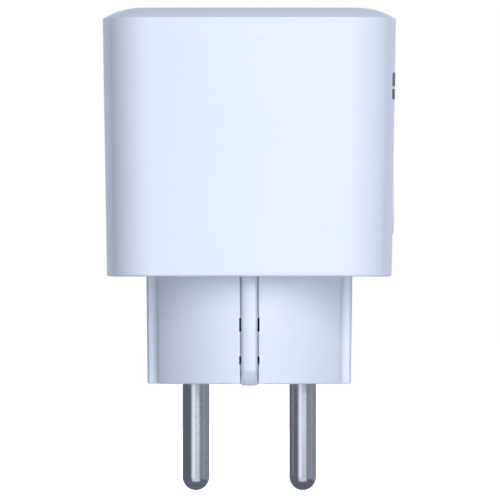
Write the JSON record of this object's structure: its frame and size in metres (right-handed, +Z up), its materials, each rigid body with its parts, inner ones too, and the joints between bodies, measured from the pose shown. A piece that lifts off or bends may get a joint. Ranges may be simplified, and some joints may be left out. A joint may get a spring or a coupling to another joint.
{
  "type": "plug in power meter",
  "caption": "Square plug-in power meter: round-pin mains plug with earth strips below, recessed shuttered socket above, push button on one side wall.",
  "frame": {"origin": "centre of the plug face, midway between the two pins", "axes": "+Z up from the plug face to the socket, pins along X and pointing to -Z, +X towards the wall with the button"},
  "size_m": [0.0522, 0.0522, 0.0857],
  "materials": {
    "casing_white": "satin, fine-textured warm-cool white",
    "base_white": "satin white",
    "button_white": "smooth satin white",
    "pin_nickel": "drawn and nickel plated, satin",
    "strip_nickel": "bright nickel plated spring metal",
    "badge_ink": "dark grey print",
    "spring_bronze": "phosphor bronze",
    "insulator_ivory": "glass-filled insulator",
    "screw_steel": "zinc plated",
    "shutter_plastic": "self-lubricating plastic",
    "black_plastic": "moulded black",
    "fishpaper": "pressed insulating sheet",
    "board_green": "solder mask",
    "board_blue": "solder mask",
    "ferrite": "sintered ferrite with tape",
    "capacitor_sleeve": "shrink sleeve",
    "film_yellow": "moulded box",
    "varistor_blue": "dipped epoxy",
    "fuse_ceramic": "moulded body",
    "shunt_alloy": "resistance alloy strip",
    "chip_black": "moulded package",
    "shield_tin": "tin plated can",
    "plunger_red": "moulded",
    "light_clear": "clear epoxy"
  },
  "bodies": {
    "meter": {"housing_shell": "casing_white", "top_frame": "casing_white", "plug_base": "base_white", "live_pin": "pin_nickel", "neutral_pin": "pin_nickel", "front_earth_strip": "strip_nickel", "rear_earth_strip": "strip_nickel", "badge_bars": "badge_ink", "socket_cup": "base_white", "earth_bracket": "strip_nickel", "front_earth_clip": "spring_bronze", "rear_earth_clip": "spring_bronze", "contact_block": "insulator_ivory", "live_contact": "spring_bronze", "neutral_contact": "spring_bronze", "contact_clamps": "screw_steel", "shutter_spring": "screw_steel", "block_screws": "screw_steel", "pin_clamp_plate": "black_plastic", "clamp_screws": "screw_steel", "insulator_sheet": "fishpaper", "main_board": "board_green", "board_screws": "screw_steel", "relay": "black_plastic", "transformer": "ferrite", "smoothing_capacitors": "capacitor_sleeve", "film_capacitor": "film_yellow", "varistor": "varistor_blue", "inductor": "ferrite", "fuse": "fuse_ceramic", "shunt_resistor": "shunt_alloy", "metering_chip": "chip_black", "rectifier": "chip_black", "side_board": "board_green", "radio_module": "board_blue", "radio_shield": "shield_tin", "tact_switch": "black_plastic", "status_light": "light_clear", "light_guide": "light_clear", "housing_screws": "screw_steel"},
    "button": {"button_cap": "button_white"},
    "plunger": {"switch_plunger": "plunger_red"},
    "shutter": {"shutter": "shutter_plastic"}
  },
  "joints": [
    {"name": "button_press", "type": "slide", "parent": "meter", "child": "button", "axis": [-1, 0, 0], "range_m": [0, 0.0005], "stiffness_N_per_m": 200},
    {"name": "plunger_press", "type": "slide", "parent": "meter", "child": "plunger", "axis": [-1, 0, 0], "range_m": [0, 0.0005]},
    {"name": "shutter_turn", "type": "hinge", "parent": "meter", "child": "shutter", "pos_m": [0, 0, 0.0462], "axis": [0, 0, 1], "range_deg": [0, 42], "stiffness_Nm_per_rad": 0.002, "deforming": ["shutter_spring"]}
  ],
  "couplings": [
    {"joint": "plunger_press", "follows": "button_press", "ratio": 1}
  ]
}
